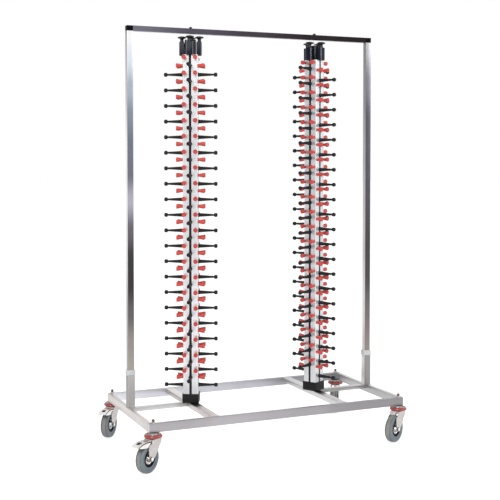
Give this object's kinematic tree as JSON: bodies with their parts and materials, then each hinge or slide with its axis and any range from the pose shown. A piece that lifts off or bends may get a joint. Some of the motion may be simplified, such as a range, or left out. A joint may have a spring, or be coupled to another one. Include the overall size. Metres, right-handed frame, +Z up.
{
  "type": "plate dispenser cart",
  "caption": "Wheeled steel frame with a hoop over it and turning columns whose ball-ended arms and rubber cups hold plates one above another.",
  "frame": {"origin": "on the floor, under the centre of the base frame", "axes": "+Z up, +X along the frame's length towards the right column, the front towards -Y"},
  "size_m": [1.4351, 0.7877, 2.0235],
  "materials": {
    "stainless": "satin",
    "bar_steel": "satin",
    "aluminium": "anodised, satin",
    "black_plastic": "fine matt",
    "gloss_black": "glossy",
    "red_rubber": "soft matt",
    "red_bumper": "soft matt",
    "nylon": "milky, slightly translucent",
    "zinc": "zinc plated",
    "plated_steel": "polished",
    "hub_metal": "dished, satin",
    "tyre": "grey non-marking rubber"
  },
  "bodies": {
    "frame": {"front_rail": "stainless", "rear_rail": "stainless", "left_end_rail": "stainless", "right_end_rail": "stainless", "left_cross_rail": "stainless", "right_cross_rail": "stainless", "left_mid_bar": "stainless", "right_mid_bar": "stainless", "post_sockets": "stainless", "post_collars": "nylon", "left_post": "stainless", "right_post": "stainless", "top_bar": "bar_steel", "corner_joints": "black_plastic", "column_pins": "plated_steel", "caster_stems": "zinc", "caster_nuts": "plated_steel", "bumper_rings": "red_bumper"},
    "left_column": {"left_column_profiles": "aluminium", "left_column_core": "aluminium", "left_column_foot": "black_plastic", "left_column_cap": "gloss_black", "left_column_housings": "gloss_black", "left_column_cups": "red_rubber"},
    "left_column_front_rail": {"left_column_front_rail": "black_plastic"},
    "left_column_front_knob": {"left_column_front_knob": "gloss_black"},
    "left_column_right_rail": {"left_column_right_rail": "black_plastic"},
    "left_column_right_knob": {"left_column_right_knob": "gloss_black"},
    "left_column_rear_rail": {"left_column_rear_rail": "black_plastic"},
    "left_column_rear_knob": {"left_column_rear_knob": "gloss_black"},
    "left_column_left_rail": {"left_column_left_rail": "black_plastic"},
    "left_column_left_knob": {"left_column_left_knob": "gloss_black"},
    "right_column": {"right_column_profiles": "aluminium", "right_column_core": "aluminium", "right_column_foot": "black_plastic", "right_column_cap": "gloss_black", "right_column_housings": "gloss_black", "right_column_cups": "red_rubber"},
    "right_column_front_rail": {"right_column_front_rail": "black_plastic"},
    "right_column_front_knob": {"right_column_front_knob": "gloss_black"},
    "right_column_right_rail": {"right_column_right_rail": "black_plastic"},
    "right_column_right_knob": {"right_column_right_knob": "gloss_black"},
    "right_column_rear_rail": {"right_column_rear_rail": "black_plastic"},
    "right_column_rear_knob": {"right_column_rear_knob": "gloss_black"},
    "right_column_left_rail": {"right_column_left_rail": "black_plastic"},
    "right_column_left_knob": {"right_column_left_knob": "gloss_black"},
    "front_left_fork": {"front_left_fork": "zinc"},
    "front_left_wheel": {"front_left_hub": "hub_metal", "front_left_tyre": "tyre"},
    "front_left_brake_pedal": {"front_left_brake_pedal": "zinc"},
    "front_right_fork": {"front_right_fork": "zinc"},
    "front_right_wheel": {"front_right_hub": "hub_metal", "front_right_tyre": "tyre"},
    "rear_left_fork": {"rear_left_fork": "zinc"},
    "rear_left_wheel": {"rear_left_hub": "hub_metal", "rear_left_tyre": "tyre"},
    "rear_left_brake_pedal": {"rear_left_brake_pedal": "zinc"},
    "rear_right_fork": {"rear_right_fork": "zinc"},
    "rear_right_wheel": {"rear_right_hub": "hub_metal", "rear_right_tyre": "tyre"}
  },
  "joints": [
    {"name": "left_column_turn", "type": "hinge", "parent": "frame", "child": "left_column", "pos_m": [-0.333, 0, 0.212], "axis": [0, 0, 1], "continuous": true},
    {"name": "left_column_front_rail_lift", "type": "slide", "parent": "left_column", "child": "left_column_front_rail", "axis": [0, 0, 1], "range_m": [-0.019, 0.011]},
    {"name": "left_column_front_knob_turn", "type": "hinge", "parent": "left_column", "child": "left_column_front_knob", "pos_m": [-0.35121, -0.03785, 1.95], "axis": [0, 0, 1], "range_deg": [-1368.01, 792.01]},
    {"name": "left_column_right_rail_lift", "type": "slide", "parent": "left_column", "child": "left_column_right_rail", "axis": [0, 0, 1], "range_m": [-0.015, 0.015]},
    {"name": "left_column_right_knob_turn", "type": "hinge", "parent": "left_column", "child": "left_column_right_knob", "pos_m": [-0.29515, -0.01821, 1.95], "axis": [0, 0, 1], "range_deg": [-1080.01, 1080.01]},
    {"name": "left_column_rear_rail_lift", "type": "slide", "parent": "left_column", "child": "left_column_rear_rail", "axis": [0, 0, 1], "range_m": [-0.015, 0.015]},
    {"name": "left_column_rear_knob_turn", "type": "hinge", "parent": "left_column", "child": "left_column_rear_knob", "pos_m": [-0.31479, 0.03785, 1.95], "axis": [0, 0, 1], "range_deg": [-1080.01, 1080.01]},
    {"name": "left_column_left_rail_lift", "type": "slide", "parent": "left_column", "child": "left_column_left_rail", "axis": [0, 0, 1], "range_m": [-0.015, 0.015]},
    {"name": "left_column_left_knob_turn", "type": "hinge", "parent": "left_column", "child": "left_column_left_knob", "pos_m": [-0.37085, 0.01821, 1.95], "axis": [0, 0, 1], "range_deg": [-1080.01, 1080.01]},
    {"name": "right_column_turn", "type": "hinge", "parent": "frame", "child": "right_column", "pos_m": [0.333, 0, 0.212], "axis": [0, 0, 1], "continuous": true},
    {"name": "right_column_front_rail_lift", "type": "slide", "parent": "right_column", "child": "right_column_front_rail", "axis": [0, 0, 1], "range_m": [-0.027, 0.003]},
    {"name": "right_column_front_knob_turn", "type": "hinge", "parent": "right_column", "child": "right_column_front_knob", "pos_m": [0.29616, -0.02017, 1.95], "axis": [0, 0, 1], "range_deg": [-1944.01, 216.01]},
    {"name": "right_column_right_rail_lift", "type": "slide", "parent": "right_column", "child": "right_column_right_rail", "axis": [0, 0, 1], "range_m": [-0.006, 0.024]},
    {"name": "right_column_right_knob_turn", "type": "hinge", "parent": "right_column", "child": "right_column_right_knob", "pos_m": [0.35317, -0.03684, 1.95], "axis": [0, 0, 1], "range_deg": [-432.01, 1728.01]},
    {"name": "right_column_rear_rail_lift", "type": "slide", "parent": "right_column", "child": "right_column_rear_rail", "axis": [0, 0, 1], "range_m": [-0.019, 0.011]},
    {"name": "right_column_rear_knob_turn", "type": "hinge", "parent": "right_column", "child": "right_column_rear_knob", "pos_m": [0.36984, 0.02017, 1.95], "axis": [0, 0, 1], "range_deg": [-1368.01, 792.01]},
    {"name": "right_column_left_rail_lift", "type": "slide", "parent": "right_column", "child": "right_column_left_rail", "axis": [0, 0, 1], "range_m": [-0.027, 0.003]},
    {"name": "right_column_left_knob_turn", "type": "hinge", "parent": "right_column", "child": "right_column_left_knob", "pos_m": [0.31283, 0.03684, 1.95], "axis": [0, 0, 1], "range_deg": [-1944.01, 216.01]},
    {"name": "front_left_swivel", "type": "hinge", "parent": "frame", "child": "front_left_fork", "pos_m": [-0.6355, -0.3275, 0.149], "axis": [0, 0, 1], "continuous": true},
    {"name": "front_left_roll", "type": "hinge", "parent": "front_left_fork", "child": "front_left_wheel", "pos_m": [-0.67127, -0.35136, 0.065], "axis": [0.5548, -0.832, 0], "continuous": true},
    {"name": "front_left_brake_pedal_press", "type": "hinge", "parent": "front_left_fork", "child": "front_left_brake_pedal", "pos_m": [-0.66129, -0.3447, 0.138], "axis": [0.5548, -0.832, 0], "range_deg": [0, 10]},
    {"name": "front_right_swivel", "type": "hinge", "parent": "frame", "child": "front_right_fork", "pos_m": [0.6355, -0.3275, 0.149], "axis": [0, 0, 1], "continuous": true},
    {"name": "front_right_roll", "type": "hinge", "parent": "front_right_fork", "child": "front_right_wheel", "pos_m": [0.59815, -0.3488, 0.065], "axis": [0.4955, -0.8686, 0], "continuous": true},
    {"name": "rear_left_swivel", "type": "hinge", "parent": "frame", "child": "rear_left_fork", "pos_m": [-0.6355, 0.3275, 0.149], "axis": [0, 0, 1], "continuous": true},
    {"name": "rear_left_roll", "type": "hinge", "parent": "rear_left_fork", "child": "rear_left_wheel", "pos_m": [-0.6632, 0.29461, 0.065], "axis": [0.7649, -0.6441, 0], "continuous": true},
    {"name": "rear_left_brake_pedal_press", "type": "hinge", "parent": "rear_left_fork", "child": "rear_left_brake_pedal", "pos_m": [-0.65547, 0.30379, 0.138], "axis": [0.7649, -0.6441, 0], "range_deg": [0, 10]},
    {"name": "rear_right_swivel", "type": "hinge", "parent": "frame", "child": "rear_right_fork", "pos_m": [0.6355, 0.3275, 0.149], "axis": [0, 0, 1], "continuous": true},
    {"name": "rear_right_roll", "type": "hinge", "parent": "rear_right_fork", "child": "rear_right_wheel", "pos_m": [0.61145, 0.29185, 0.065], "axis": [0.829, -0.5592, 0], "continuous": true}
  ],
  "couplings": [
    {"joint": "left_column_front_knob_turn", "follows": "left_column_front_rail_lift", "rad_per_m": 1256.6},
    {"joint": "left_column_right_knob_turn", "follows": "left_column_right_rail_lift", "rad_per_m": 1256.6},
    {"joint": "left_column_rear_knob_turn", "follows": "left_column_rear_rail_lift", "rad_per_m": 1256.6},
    {"joint": "left_column_left_knob_turn", "follows": "left_column_left_rail_lift", "rad_per_m": 1256.6},
    {"joint": "right_column_front_knob_turn", "follows": "right_column_front_rail_lift", "rad_per_m": 1256.6},
    {"joint": "right_column_right_knob_turn", "follows": "right_column_right_rail_lift", "rad_per_m": 1256.6},
    {"joint": "right_column_rear_knob_turn", "follows": "right_column_rear_rail_lift", "rad_per_m": 1256.6},
    {"joint": "right_column_left_knob_turn", "follows": "right_column_left_rail_lift", "rad_per_m": 1256.6}
  ]
}
